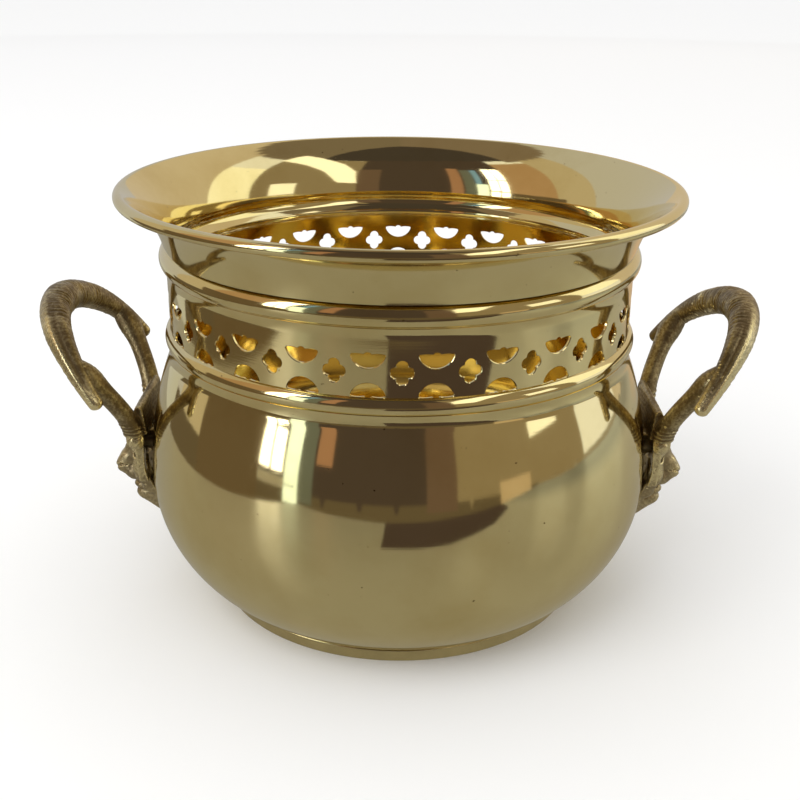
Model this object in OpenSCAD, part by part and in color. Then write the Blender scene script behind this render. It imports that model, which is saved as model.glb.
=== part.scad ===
// A pierced brass planter pot: a spun bowl on a foot ring, a pierced collar with two rolled
// beads and a wired rim, and two cast horned handles screwed on through the wall.
// Millimetres, +Z up. The origin is on the table under the pot's axis. X runs through both
// handles and -Y is the front.

/* [Overall] */
// Diameter over the rolled rim
rim_d = 240; // [236:1:246]
// Height of the top of the rim above the table
rim_z = 185.2; // [183:0.2:188]
// Thickness of the spun sheet
sheet_t = 1; // [0.8:0.1:1.2]

/* [Bowl] */
// Diameter of the belly at its widest
belly_d = 224; // [222:1:226]
// Height of the widest line of the belly
belly_z = 58; // [56:1:60]
// Radius of the belly's lower curve, seen from the side
belly_low_r = 62; // [61:0.5:63]
// Radius of the belly's upper curve, seen from the side
belly_high_r = 145; // [140:1:150]
// Height of the underside of the flat floor
floor_z = 4.5; // [4:0.1:5]
// Height where the belly turns into the waist under the lower bead
waist_z = 111.5; // [110.5:0.5:112.5]
// Radius of the hollow curve of the waist
waist_r = 10; // [9.6:0.2:10.6]

/* [Foot ring] */
// Outside diameter of the foot ring on the table
foot_d = 165.8; // [164:0.2:167]
// Outside diameter of the foot ring where it meets the bowl
foot_top_d = 170.6; // [170:0.2:172]
// Thickness of the foot ring
foot_t = 1.6; // [1.4:0.1:2]

/* [Collar] */
// Outside diameter of the pierced band
band_d = 200.6; // [200:0.2:201.6]
// Height of the joint between bowl and collar
joint_z = 118.5; // [118:0.1:119]
// Outside diameter of the lower bead
low_bead_d = 205.2; // [204.6:0.2:206]
// Radius of the lower bead's round
low_bead_r = 4.3; // [4.1:0.1:4.6]
// Height of the middle of the upper bead
high_bead_z = 156.35; // [155.5:0.1:157]
// Outside diameter of the upper bead
high_bead_d = 206.4; // [205.6:0.2:207.2]
// Radius of the upper bead's round
high_bead_r = 5.6; // [5.4:0.1:6]
// Radius of the hollow curve between the band and the upper bead
cove_r = 12; // [11:0.5:13]
// Outside radius of the rolled rim
roll_r = 2.4; // [2.3:0.1:2.7]

/* [Piercing] */
// How many times the pattern repeats round the band
repeats = 25; // [20:1:25]
// Height of the middle of the quatrefoils
quatrefoil_z = 135; // [134.4:0.1:135.6]
// Radius of each lobe of a quatrefoil
lobe_r = 2.2; // [2:0.1:2.4]
// How far the side lobes sit from the middle
lobe_side = 2.15; // [2:0.05:2.3]
// How far the top and bottom lobes sit from the middle
lobe_rise = 2.5; // [2.3:0.05:2.7]
// How far the pattern is turned from the front, in degrees
pattern_turn = 0.8; // [0:0.1:14]
// Height midway between the two rows of half-moons
moons_z = 133.7; // [133.6:0.1:134.4]
// Radius of the half-moons
moon_r = 6.8; // [6.4:0.1:7]
// Depth of the half-moons from the straight edge to the round one
moon_depth = 5.3; // [5:0.1:5.8]
// Distance from that height up or down to a half-moon's straight edge
moon_reach = 8.1; // [7.8:0.1:8.2]
// Radius of the small bump in a half-moon's straight edge
bump_r = 1.3; // [1:0.1:1.6]

/* [Handles] */
// Distance from the pot's axis to a horn tip, along X
tip_x = 125.6; // [124:0.2:127]
// Half the distance between the two horn tips
tip_y = 47.7; // [46:0.1:49]
// Height of the horn tips
tip_z = 100.7; // [99:0.1:102]
// Distance from the pot's axis to the middle of the horn at the top of the loop
loop_x = 150.3; // [149:0.1:152]
// Height of the middle of the horn at the top of the loop
loop_z = 130.9; // [129:0.1:132]
// Radius of the horn at the top of the loop
horn_r = 7.8; // [7:0.1:8]
// Radius of the horn halfway along
horn_middle_r = 6.1; // [5.6:0.1:6.5]
// Radius of the horn near a tip
horn_tip_r = 3.4; // [3.2:0.1:4]
// Height of the flat joint between mask and fork
crown_z = 75; // [74:0.1:76]
// Half the distance between the two arms at the crown
root_y = 20.6; // [20:0.1:21]
// Height of the top of the yoke between the arms
yoke_z = 88.2; // [87:0.1:89]
// Radius of an arm of the fork at the crown
arm_root_r = 4.6; // [4.2:0.1:5]
// Radius of an arm of the fork where it meets the horn
arm_r = 3.6; // [3.3:0.1:3.9]

/* [Fixings] */
// Diameter of the screws' shanks
screw_d = 4; // [3.5:0.1:4.5]
// Diameter of the screws' heads
head_d = 8; // [7.5:0.1:9]
// Height of the screws' heads
head_h = 2.4; // [2:0.1:3]
// Diameter of the washers
washer_d = 10.5; // [10:0.1:12]
// Height of each handle's upper screw
high_screw_z = 64; // [63:0.5:65]
// Height of each handle's lower screw
low_screw_z = 46; // [45:0.5:48]

/* [Hidden] */
$fn = 96;
SPUN = 240;            // sides of a spun surface where it is drawn as a mesh
BRASS = "darkkhaki";
CAST_BRASS = "darkgoldenrod";
CUT = 200;             // larger than anything it has to cut
belly_x = belly_d / 2 - belly_low_r;
waist_lean = asin((waist_z - belly_z) / belly_high_r);
waist_x = belly_d / 2 - belly_high_r * (1 - cos(waist_lean));
foot_r = foot_d / 2;
foot_top_r = foot_top_d / 2;
band_r = band_d / 2;
low_bead_x = low_bead_d / 2 - low_bead_r;
low_bead_start = -45;
low_bead_z = joint_z - low_bead_r * sin(low_bead_start);
low_bead_end = acos((band_r - low_bead_x) / low_bead_r);
high_bead_x = high_bead_d / 2 - high_bead_r;
bead_swing = 52.6;     // how far each way the upper bead's round runs
high_bead_low = high_bead_z - high_bead_r * sin(bead_swing);
high_bead_top = high_bead_z + high_bead_r * sin(bead_swing);
cove_swing = 21;       // how far the hollow curve under the upper bead turns
neck_r = high_bead_x + high_bead_r * cos(bead_swing);
wire_r = roll_r - sheet_t;
roll_x = rim_d / 2 - roll_r;
roll_z = rim_z - roll_r;
flare_end = 59;        // lean of the flare where it runs into the roll
roll_start = 90 + 90 - flare_end;
roll_end = -150;
flare_top = [roll_x + wire_r * cos(roll_start), roll_z + wire_r * sin(roll_start)];
flare_chord = norm(flare_top - [neck_r, high_bead_top]);
flare_middle = atan2(flare_top[0] - neck_r, flare_top[1] - high_bead_top);
flare_half = flare_end - flare_middle;
flare_r = flare_chord / 2 / sin(flare_half);
tip_pull = [15, -7.2, 20.9];   // how the horn's curve leaves a tip
loop_pull = 20.6;      // how far level the curve runs at the top of the loop
horn_curve = [[tip_x, tip_y, tip_z], [tip_x, tip_y, tip_z] + tip_pull,
              [loop_x, loop_pull, loop_z], [loop_x, 0, loop_z]];
horn_normal = [loop_z - tip_z, 0, tip_x - loop_x];
arm_joint = 0.27;      // where along the horn's curve an arm meets it
root_x = 118.4;        // middle of an arm at the crown, along X
arm_curve = [[root_x, root_y, crown_z - 3], [root_x - 5.3, root_y - 3.5, crown_z + 3.2],
             [129.3, 43.9, 111.3], bezier(horn_curve, arm_joint)];
screw_reach = 9;       // how far a shank runs past the wall into the mask
screw_zs = [low_screw_z, high_screw_z];

// Points of an arc of radius r about c, from angle a to angle b, in n steps.
function arc(c, r, a, b, n) =
    [for (i = [0:n]) c + r * [cos(a + (b - a) * i / n), sin(a + (b - a) * i / n)]];

// Unit normal to a path at point i, pointing to the right of its direction of travel.
function path_normal(p, i) =
    let (v = p[min(i + 1, len(p) - 1)] - p[max(i - 1, 0)]) [v[1], -v[0]] / norm(v);

// The path moved sideways by t: the inner face of a sheet whose outer face is the path.
function inner(p, t) = [for (i = [0:len(p) - 1]) p[i] - t * path_normal(p, i)];

function reversed(p) = [for (i = [len(p) - 1:-1:0]) p[i]];

// Point at t on a cubic curve.
function bezier(p, t) =
    pow(1 - t, 3) * p[0] + 3 * t * pow(1 - t, 2) * p[1] + 3 * t * t * (1 - t) * p[2] + t * t * t * p[3];

// Outer face of the bowl: floor, belly and waist, from the axis out and up.
function bowl_path() = concat(
    [[0, floor_z]],
    arc([belly_x, belly_z], belly_low_r, -asin((belly_z - floor_z) / belly_low_r), 0, 24),
    [for (i = [1:14]) let (a = waist_lean * i / 14)
        [belly_d / 2 - belly_high_r * (1 - cos(a)), belly_z + belly_high_r * sin(a)]],
    waist_arc());

function waist_arc() =
    let (c = [waist_x + waist_r * cos(waist_lean), waist_z + waist_r * sin(waist_lean)],
         last = 180 - asin((joint_z - c[1]) / waist_r))
    [for (i = [1:8]) let (a = 180 + waist_lean + (last - 180 - waist_lean) * i / 8)
        c + waist_r * [cos(a), sin(a)]];

// Radius of the belly's outer face at height z, from the lower to the upper curve.
function belly_at(z) = z < belly_z
    ? belly_x + sqrt(pow(belly_low_r, 2) - pow(z - belly_z, 2))
    : belly_d / 2 - belly_high_r + sqrt(pow(belly_high_r, 2) - pow(z - belly_z, 2));

// Outer face of the collar: lower bead, band, cove, upper bead and flare, from the joint up.
function collar_path() = concat(
    arc([low_bead_x, low_bead_z], low_bead_r, low_bead_start, low_bead_end, 12),
    arc([band_r + cove_r, high_bead_low - cove_r * sin(cove_swing)], cove_r, 180, 180 - cove_swing, 6),
    arc([high_bead_x, high_bead_z], high_bead_r, -bead_swing, bead_swing, 12),
    [for (i = [1:16]) flare_point(i / 16)]);

// A point on the flare, from the upper bead at 0 to the roll at 1.
function flare_point(s) =
    let (lean = flare_middle - flare_half + 2 * flare_half * s, first = flare_middle - flare_half)
    [neck_r + flare_r * (cos(first) - cos(lean)), high_bead_top + flare_r * (sin(lean) - sin(first))];

// Inner and outer faces of the sheet where it is rolled over the wire.
function roll_arc(r) = arc([roll_x, roll_z], r, roll_start, roll_end, 27);

function tail(p) = [for (i = [1:len(p) - 1]) p[i]];

// Places a child at each handle's screws, pointing along X away from the axis.
module at_screws(sides) {
    for (side = sides, z = screw_zs)
        translate([side * belly_at(z), 0, z]) rotate([0, side * 90, 0]) children();
}

// Everything inside the outer face of the bowl.
module bowl_block() {
    rotate(90) rotate_extrude($fn = SPUN) polygon(concat(bowl_path(), [[0, joint_z]]));
}

// Everything inside the inner face of the bowl.
module bowl_hollow() {
    face = inner(bowl_path(), sheet_t);
    rotate(90) rotate_extrude($fn = SPUN)
        polygon(concat([[0, floor_z + sheet_t]], tail(face), [[0, joint_z]]));
}

// One piece: floor, belly and waist, with holes for the handle screws.
module bowl() {
    outer = bowl_path();
    last = outer[len(outer) - 1];
    face = [for (i = [1:len(outer) - 2]) outer[i] - sheet_t * path_normal(outer, i)];
    color(BRASS) difference() {
        rotate(90) rotate_extrude($fn = SPUN) polygon(concat(outer, [last - [sheet_t, 0]], reversed(face),
                                                   [[0, floor_z + sheet_t]]));
        at_screws([-1, 1]) translate([0, 0, -10]) cylinder(d = screw_d, h = 20);
    }
}

// The spun ring that the pot stands on, shaped to the underside of the bowl.
module foot_ring() {
    edge = 0.4;
    color(BRASS) rotate_extrude($fn = SPUN) difference() {
        polygon([[foot_r - foot_t, 0], [foot_r - edge, 0], [foot_r, edge],
                 [foot_top_r, belly_z / 4], [foot_top_r - foot_t, belly_z / 4]]);
        polygon(concat(bowl_path(), [[0, joint_z]]));
    }
}

// Quatrefoil: four round lobes about a round middle.
module quatrefoil() {
    circle(r = lobe_r);
    for (s = [-1, 1]) {
        translate([s * lobe_side, 0]) circle(r = lobe_r);
        translate([0, s * lobe_rise]) circle(r = lobe_r);
    }
}

// Half-moon hanging from its straight edge, which has a small bump in the middle.
module half_moon() {
    intersection() {
        translate([0, moon_r - moon_depth]) circle(r = moon_r);
        translate([-moon_r, -moon_depth - 1]) square([2 * moon_r, moon_depth + 1]);
    }
    translate([0, -bump_r / 3]) circle(r = bump_r);
}

// Cuts a flat shape through the band at angle a from the front, height z.
module pierce(a, z) {
    reach = 4;
    rotate(a + pattern_turn - 90) translate([band_r - reach, 0, z]) rotate([90, 0, 90])
        linear_extrude(2 * reach) children();
}

// Spun collar: lower bead, pierced band, upper bead, flare and the sheet rolled over the wire.
module collar() {
    outer = collar_path();
    face = inner(outer, sheet_t);
    color(BRASS) difference() {
        rotate_extrude($fn = SPUN) polygon(concat(
            outer, tail(roll_arc(wire_r)), reversed(roll_arc(roll_r)),
            [for (i = [len(face) - 2:-1:1]) face[i]], [outer[0] - [sheet_t, 0]]));
        for (i = [0:repeats - 1]) {
            turn = 360 / repeats;
            pierce(i * turn, quatrefoil_z) quatrefoil();
            pierce((i + 0.5) * turn, moons_z + moon_reach) half_moon();
            pierce((i + 0.5) * turn, moons_z - moon_reach) mirror([0, 1]) half_moon();
        }
    }
}

// The wire that stiffens the rim. Its section has the corners of the sheet rolled over it.
module rim_wire() {
    bare = arc([roll_x, roll_z], wire_r, roll_end, roll_start - 360, 9);
    color(BRASS) rotate_extrude($fn = SPUN)
        polygon(concat(roll_arc(wire_r), [for (i = [1:len(bare) - 2]) bare[i]]));
}

// A closed tube of n sides through the points, with a radius for each point.
module tube(points, radii, flat, n) {
    last = len(points) - 1;
    polyhedron(
        points = [for (i = [0:last])
            let (t = points[min(i + 1, last)] - points[max(i - 1, 0)],
                 side = cross(t, flat) / norm(cross(t, flat)),
                 up = cross(side, t) / norm(cross(side, t)))
            for (j = [0:n - 1]) points[i] + radii[i] * (cos(360 * j / n) * side + sin(360 * j / n) * up)],
        faces = concat(
            [[for (j = [n - 1:-1:0]) j]],
            [for (i = [0:last - 1], j = [0:n - 1])
                let (k = (j + 1) % n) [i * n + k, (i + 1) * n + k, (i + 1) * n + j, i * n + j]],
            [[for (j = [0:n - 1]) last * n + j]]));
}

// Middle line of the horns: from a tip at -1 over the top of the loop at 0 to the other tip at 1.
function horn_point(s) =
    let (p = bezier(horn_curve, 1 - abs(s))) [p[0], sign(s) * p[1], p[2]];

function horn_radius(s) = abs(s) > 0.5
    ? horn_tip_r + (horn_middle_r - horn_tip_r) * (1 - abs(s)) / 0.5
    : horn_middle_r + (horn_r - horn_middle_r) * (0.5 - abs(s)) / 0.5;

// The two horns of the right-hand handle, joined at the top of the loop, with blunt tips.
module horn_pair() {
    steps = 24;
    ss = [for (i = [-steps:steps]) i / steps];
    blunt = 0.55;
    cap = 2;
    end = (horn_point(1) - horn_point(0.97)) / norm(horn_point(1) - horn_point(0.97));
    tube(concat([horn_point(-1) + cap * [end[0], -end[1], end[2]]], [for (s = ss) horn_point(s)],
                [horn_point(1) + cap * end]),
         concat([blunt * horn_tip_r], [for (s = ss) horn_radius(s)], [blunt * horn_tip_r]),
         horn_normal, 16);
}

// The fork: two arms joined by a yoke across the crown, coped to fit the horns.
module fork() {
    steps = 12;
    yoke_x = 115.1;
    yoke_low_r = 3.4;
    yoke_top_r = 1.8;
    difference() {
        union() {
            for (side = [-1, 1])
                tube([for (i = [0:steps]) let (p = bezier(arm_curve, i / steps)) [p[0], side * p[1], p[2]]],
                     [for (i = [0:steps]) arm_root_r + (arm_r - arm_root_r) * i / steps],
                     [1, 0, 0], 14);
            hull() for (y = [-root_y, root_y]) translate([yoke_x, y, crown_z])
                cylinder(r1 = yoke_low_r, r2 = yoke_top_r, h = yoke_z - crown_z, $fn = 32);
        }
        translate([0, -CUT / 2, crown_z - CUT]) cube(CUT);
        horn_pair();
    }
}

// Hollow-backed mask with two bosses that reach back to the wall.
module mask() {
    difference() {
        union() {
            difference() {
                mask_block(0);
                mask_block(3);
            }
            at_screws([1]) translate([0, 0, -2]) cylinder(d = screw_d + 4, h = screw_reach + 3);
        }
        bowl_block();
        translate([0, -CUT / 2, crown_z]) cube(CUT);
        at_screws([1]) translate([0, 0, -2]) cylinder(d = screw_d, h = screw_reach + 2);
    }
}

// The mask's outside with wall = 0, or its hollow, which is open at the back.
module mask_block(wall) {
    back = wall > 0 ? -8 : 0;
    crown = [118, root_y, crown_z];
    cheek = [116, 14.5, 56];
    eye = [120.5, 5, 62];
    jaw = [115.5, 0, 38];
    hull() {
        for (side = [-1, 1]) {
            translate([crown[0] + back, side * (crown[1] - wall * 0.6), crown[2] - wall]) ball(4.5);
            translate([cheek[0] + back, side * (cheek[1] - wall), cheek[2]]) ball(4);
            translate([eye[0] - wall, side * (eye[1] - wall / 2), eye[2]]) ball(5);
        }
        translate([jaw[0] + back, 0, jaw[2] + wall]) ball(5);
    }
    if (wall == 0) {
        muzzle();
        beard();
    }
}

module ball(r) {
    sphere(r = r, $fn = 24);
}

// Nose, bridge and lower lip of the mask.
module muzzle() {
    nose = [125.7, 0, 52.4];
    bridge = [118, 0, 58];
    lip = [116, 0, 40];
    hull() {
        translate(nose) sphere(r = 5.8, $fn = 32);
        translate(bridge) sphere(r = 8, $fn = 32);
        translate(lip) sphere(r = 6.2, $fn = 32);
    }
}

// Beard of the mask, tapering to the wall.
module beard() {
    chin = [116, 0, 37];
    point = [107, 0, 27];
    hull() {
        translate(chin) ball(5.4);
        translate(point) ball(2.5);
    }
}

// Slotted screws, driven outward from inside the bowl.
module screws() {
    slot_w = 1;
    slot_h = 1;
    seat = sheet_t + washer_h();
    color(BRASS) at_screws([-1, 1]) difference() {
        union() {
            translate([0, 0, -seat]) cylinder(d = screw_d, h = seat + screw_reach);
            translate([0, 0, -seat - head_h]) cylinder(d1 = head_d - 1.6, d2 = head_d, h = head_h);
        }
        translate([-head_d, -slot_w / 2, -seat - head_h - 1]) cube([2 * head_d, slot_w, slot_h + 1]);
    }
}

function washer_h() = 1.6;

// Washers that are flat under the screw heads and curved where they bear on the wall.
module washers() {
    color(BRASS) intersection() {
        at_screws([-1, 1]) translate([0, 0, -sheet_t - washer_h()]) difference() {
            cylinder(d = washer_d, h = washer_h() + 2);
            translate([0, 0, -1]) cylinder(d = screw_d, h = washer_h() + 4);
        }
        bowl_hollow();
    }
}

// Makes the left-hand copy of a right-hand piece.
module left() {
    mirror([1, 0, 0]) children();
}

module left_mask() { color(CAST_BRASS) left() mask(); }
module right_mask() { color(CAST_BRASS) mask(); }
module left_fork() { color(CAST_BRASS) left() fork(); }
module right_fork() { color(CAST_BRASS) fork(); }
module left_horns() { color(CAST_BRASS) left() horn_pair(); }
module right_horns() { color(CAST_BRASS) horn_pair(); }

bowl();
foot_ring();
collar();
rim_wire();
left_mask();
right_mask();
left_fork();
right_fork();
left_horns();
right_horns();
screws();
washers();
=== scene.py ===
"""Brass planter pot: a polished spun bowl and pierced collar with two cast horned handles.

Lengths are in metres. The handle castings are worked out in millimetres and scaled once.
"""

import math

import bpy
import numpy as np
from mathutils import Matrix, Vector
from mathutils.geometry import delaunay_2d_cdt


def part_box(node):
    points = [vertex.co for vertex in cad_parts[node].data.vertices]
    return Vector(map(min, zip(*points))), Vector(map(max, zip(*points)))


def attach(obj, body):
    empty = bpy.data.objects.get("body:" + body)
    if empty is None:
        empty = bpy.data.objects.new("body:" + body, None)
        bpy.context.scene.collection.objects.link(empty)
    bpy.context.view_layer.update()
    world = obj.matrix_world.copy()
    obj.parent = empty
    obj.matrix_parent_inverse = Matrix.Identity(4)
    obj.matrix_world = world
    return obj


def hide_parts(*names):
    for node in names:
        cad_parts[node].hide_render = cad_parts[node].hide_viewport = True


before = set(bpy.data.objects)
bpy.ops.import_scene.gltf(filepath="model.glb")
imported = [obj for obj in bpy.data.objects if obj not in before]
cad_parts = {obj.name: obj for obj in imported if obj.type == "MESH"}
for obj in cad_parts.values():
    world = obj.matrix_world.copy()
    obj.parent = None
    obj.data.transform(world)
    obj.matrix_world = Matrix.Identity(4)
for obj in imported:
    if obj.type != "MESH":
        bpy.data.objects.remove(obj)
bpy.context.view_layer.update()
MM = 0.001

# ---- sizes, in millimetres
RIM_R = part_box("collar")[1].y / MM
RIM_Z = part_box("collar")[1].z / MM
JOINT_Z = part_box("bowl")[1].z / MM
BELLY_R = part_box("bowl")[1].y / MM
FLOOR_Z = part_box("bowl")[0].z / MM
FOOT_TOP_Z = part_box("foot_ring")[1].z / MM
FOOT_TOP_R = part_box("foot_ring")[1].y / MM
CROWN_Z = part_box("right_fork")[0].z / MM
SHEET = 1.0
BELLY_Z, BELLY_LOW_R, BELLY_HIGH_R = 58.0, 62.0, 145.0
WAIST_Z, WAIST_R = 111.5, 10.0
FOOT_R, FOOT_T = 82.9, 1.6
BAND_R = 100.3
LOW_BEAD_D, LOW_BEAD_R = 205.2, 4.3
HIGH_BEAD_Z, HIGH_BEAD_D, HIGH_BEAD_R = 156.35, 206.4, 5.6
COVE_R, COVE_SWING, BEAD_SWING = 12.0, 21.0, 52.6
ROLL_R, FLARE_LEAN, ROLL_END = 2.4, 59.0, -150.0
REPEATS, STEPS_A_CELL = 25, 24
AROUND = REPEATS * STEPS_A_CELL
QUATREFOIL_Z, LOBE_R, LOBE_SIDE, LOBE_RISE = 135.0, 2.2, 2.15, 2.5
PITCH = 2 * math.pi * BAND_R / REPEATS
CELL_LEFT, PATTERN_TURN = -0.3 * PITCH, 0.8
HOLE_CHAMFER = 0.22
MOONS_Z, MOON_R, MOON_DEPTH, MOON_REACH = 133.7, 6.8, 5.3, 8.1
BUMP_R = 1.3
TIP = np.array([125.6, 47.7, 100.7])
LOOP = np.array([150.3, 0.0, 130.9])
HORN_R, HORN_MIDDLE_R, HORN_TIP_R = 7.8, 6.1, 3.4
KEEL_AT, ARM_JOINT = -6.0, 0.27
ROOT_X, ROOT_Y, YOKE_X, YOKE_Z = 118.4, 20.6, 115.1, 88.2
SCREW_ZS, SCREW_D = (46.0, 64.0), 4.0
MASK_WALL, MASK_REAR_WALL, MASK_REAR_DEPTH = 2.6, 2.4, 9.0
FACE_FRONT_X = 118.5
GAP = 0.02


# ---- flat curves

def arc(centre, radius, start, end, n):
    """n + 1 points of an arc, angles in degrees."""
    a = np.radians(np.linspace(start, end, n + 1))
    return np.column_stack((centre[0] + radius * np.cos(a), centre[1] + radius * np.sin(a)))


def path_normals(path):
    """Unit normals to the right of a path's direction of travel, mitred at its corners."""
    step = np.diff(path, axis=0)
    step /= np.linalg.norm(step, axis=1)[:, None]
    before = np.vstack((step[:1], step))
    after = np.vstack((step, step[-1:]))
    mean = before + after
    mean /= np.linalg.norm(mean, axis=1)[:, None]
    mitre = 1 / np.clip((mean * after).sum(1), 0.5, 1)
    return np.column_stack((mean[:, 1], -mean[:, 0])) * mitre[:, None]


def inside_of(path, thickness):
    """The inner face of a sheet whose outer face is the path."""
    return path - thickness * path_normals(path)


def bezier(points, t):
    """Points at t on a cubic curve."""
    t = np.asarray(t, float)[..., None]
    p = np.asarray(points, float)
    return ((1 - t) ** 3 * p[0] + 3 * t * (1 - t) ** 2 * p[1]
            + 3 * t * t * (1 - t) * p[2] + t ** 3 * p[3])


def bowl_path():
    """Outer face of the bowl, from the axis out and up to the joint."""
    low_x = BELLY_R - BELLY_LOW_R
    start = -math.degrees(math.asin((BELLY_Z - FLOOR_Z) / BELLY_LOW_R))
    lean = math.degrees(math.asin((WAIST_Z - BELLY_Z) / BELLY_HIGH_R))
    waist_x = BELLY_R - BELLY_HIGH_R * (1 - math.cos(math.radians(lean)))
    centre = (waist_x + WAIST_R * math.cos(math.radians(lean)),
              WAIST_Z + WAIST_R * math.sin(math.radians(lean)))
    last = 180 - math.degrees(math.asin((JOINT_Z - centre[1]) / WAIST_R))
    floor_r = low_x + BELLY_LOW_R * math.cos(math.radians(start))
    floor = np.column_stack((np.linspace(0, floor_r, 26)[:-1], np.full(25, FLOOR_Z)))
    return np.vstack((
        floor,
        arc((low_x, BELLY_Z), BELLY_LOW_R, start, 0, 60)[:-1],
        arc((BELLY_R - BELLY_HIGH_R, BELLY_Z), BELLY_HIGH_R, 0, lean, 44)[:-1],
        arc(centre, WAIST_R, 180 + lean, last, 20)))


def wall_at(z):
    """Radius of the belly's outer face at height z."""
    z = np.asarray(z, float)
    low = BELLY_R - BELLY_LOW_R + np.sqrt(np.maximum(BELLY_LOW_R ** 2 - (z - BELLY_Z) ** 2, 1))
    high = BELLY_R - BELLY_HIGH_R + np.sqrt(BELLY_HIGH_R ** 2 - (z - BELLY_Z) ** 2)
    return np.where(z < BELLY_Z, low, high)


def low_bead():
    """Outer face of the lower bead, from the joint up to the band."""
    x = LOW_BEAD_D / 2 - LOW_BEAD_R
    start = -45.0
    z = JOINT_Z - LOW_BEAD_R * math.sin(math.radians(start))
    end = math.degrees(math.acos((BAND_R - x) / LOW_BEAD_R))
    return arc((x, z), LOW_BEAD_R, start, end, 36)


def upper_wall():
    """Outer face of cove, upper bead and flare, from the top of the band to the roll."""
    swing = math.radians(BEAD_SWING)
    bead_x = HIGH_BEAD_D / 2 - HIGH_BEAD_R
    low_z = HIGH_BEAD_Z - HIGH_BEAD_R * math.sin(swing)
    top_z = HIGH_BEAD_Z + HIGH_BEAD_R * math.sin(swing)
    neck_r = bead_x + HIGH_BEAD_R * math.cos(swing)
    cove = arc((BAND_R + COVE_R, low_z - COVE_R * math.sin(math.radians(COVE_SWING))),
               COVE_R, 180, 180 - COVE_SWING, 12)
    bead = arc((bead_x, HIGH_BEAD_Z), HIGH_BEAD_R, -BEAD_SWING, BEAD_SWING, 40)
    start = math.radians(180 - FLARE_LEAN)
    top = roll_centre() + (ROLL_R - SHEET) * np.array([math.cos(start), math.sin(start)])
    rise = top - np.array([neck_r, top_z])
    middle = math.degrees(math.atan2(rise[0], rise[1]))
    half = FLARE_LEAN - middle
    radius = np.hypot(*rise) / 2 / math.sin(math.radians(half))
    lean = np.radians(np.linspace(middle - half, middle + half, 49))
    flare = np.column_stack((neck_r + radius * (math.cos(lean[0]) - np.cos(lean)),
                             top_z + radius * (np.sin(lean) - math.sin(lean[0]))))
    return np.vstack((cove, bead, flare[1:]))


def roll_centre():
    """Middle of the wire in the rolled rim."""
    return np.array([RIM_R - ROLL_R, RIM_Z - ROLL_R])


# ---- meshes

def placed(name, data):
    """A new object of the scene that shows the data."""
    made = bpy.data.objects.new(name, data)
    bpy.context.scene.collection.objects.link(made)
    return made


def new_mesh(name, verts, faces, material, sharp=30.0):
    """A smooth-shaded object from arrays in metres, with its creases marked sharp."""
    mesh = bpy.data.meshes.new(name)
    mesh.from_pydata([tuple(v) for v in verts], [], [tuple(f) for f in faces])
    mesh.validate(clean_customdata=True)
    mesh.update()
    mesh.polygons.foreach_set("use_smooth", [True] * len(mesh.polygons))
    mesh.set_sharp_from_angle(angle=math.radians(sharp))
    mesh.materials.append(material)
    return placed(name, mesh)


def mark_polish_and_painted_light(piece, share):
    """Stores, from 0 to 1 at each corner, how far the cast material is brightened: real polish from
    handling, and painted highlight and painted light.
    """
    data = piece.data.attributes.new("polish_and_painted_light", "FLOAT", "POINT")
    data.data.foreach_set("value", np.clip(share, 0, 1).astype(np.float32))


def stand_for(piece, node_name):
    """The piece rides on the pot and hides the CAD node."""
    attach(piece, "root")
    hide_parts(node_name)
    return piece


def merged(verts, faces, digits=4):
    """Welds corners that fall on the same spot, in millimetres, and drops empty faces."""
    keys, index = np.unique(np.round(verts, digits), axis=0, return_inverse=True)
    index = index.reshape(-1)
    kept = []
    for f in faces:
        ring = [int(index[i]) for i in f]
        ring = [a for i, a in enumerate(ring) if a != ring[i - 1]]
        if len(ring) > 2:
            kept.append(ring)
    return keys, kept


def spin(path, closed=False, turn=0.0):
    """Verts and faces of a path (radius, height) spun round the axis, faces looking right."""
    a = np.radians(turn) + 2 * np.pi * np.arange(AROUND) / AROUND
    r, z = path[:, 0][:, None], path[:, 1][:, None]
    verts = np.stack((r * np.sin(a), -r * np.cos(a), z + 0 * a), axis=-1).reshape(-1, 3)
    rows = len(path)
    i = np.arange(rows if closed else rows - 1)[:, None] * AROUND
    up = (i + AROUND) % (rows * AROUND)
    j, k = np.arange(AROUND)[None, :], (np.arange(AROUND) + 1)[None, :] % AROUND
    faces = np.stack((i + j, i + k, up + k, up + j), axis=-1).reshape(-1, 4)
    return verts, faces.tolist()


def lathe(name, path, material):
    """A piece turned from a closed outline (radius, height) in millimetres."""
    verts, faces = merged(*spin(path, closed=True))
    return new_mesh(name, verts * MM, faces, material)



def sweep(points, outs, ups, radii_out, radii_up):
    """Verts and faces of a closed skin: at each point a ring of offsets along outs and ups.

    radii_out and radii_up are (points, sides) arrays of signed offsets.
    """
    count, sides = radii_out.shape
    verts = (points[:, None, :] + radii_out[..., None] * outs[:, None, :]
             + radii_up[..., None] * ups[:, None, :]).reshape(-1, 3)
    i = np.arange(count - 1)[:, None] * sides
    j, k = np.arange(sides)[None, :], (np.arange(sides)[None, :] + 1) % sides
    faces = np.stack((i + j, i + k, i + sides + k, i + sides + j), axis=-1).reshape(-1, 4).tolist()
    faces.append(list(range(sides))[::-1])
    faces.append([(count - 1) * sides + m for m in range(sides)])
    return verts, faces


# ---- solids from distances

def smooth_union(a, b, blend):
    """Both solids, with a soft fillet where they meet."""
    h = np.clip(0.5 + 0.5 * (b - a) / blend, 0, 1)
    return b * (1 - h) + a * h - blend * h * (1 - h)


def joined(field, *parts):
    """The field with each (distance, blend) pair added in turn."""
    for part, blend in parts:
        field = smooth_union(field, part, blend)
    return field


def smooth_cut(a, b, blend):
    """The first solid without the second."""
    return -smooth_union(-a, b, blend)


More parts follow.
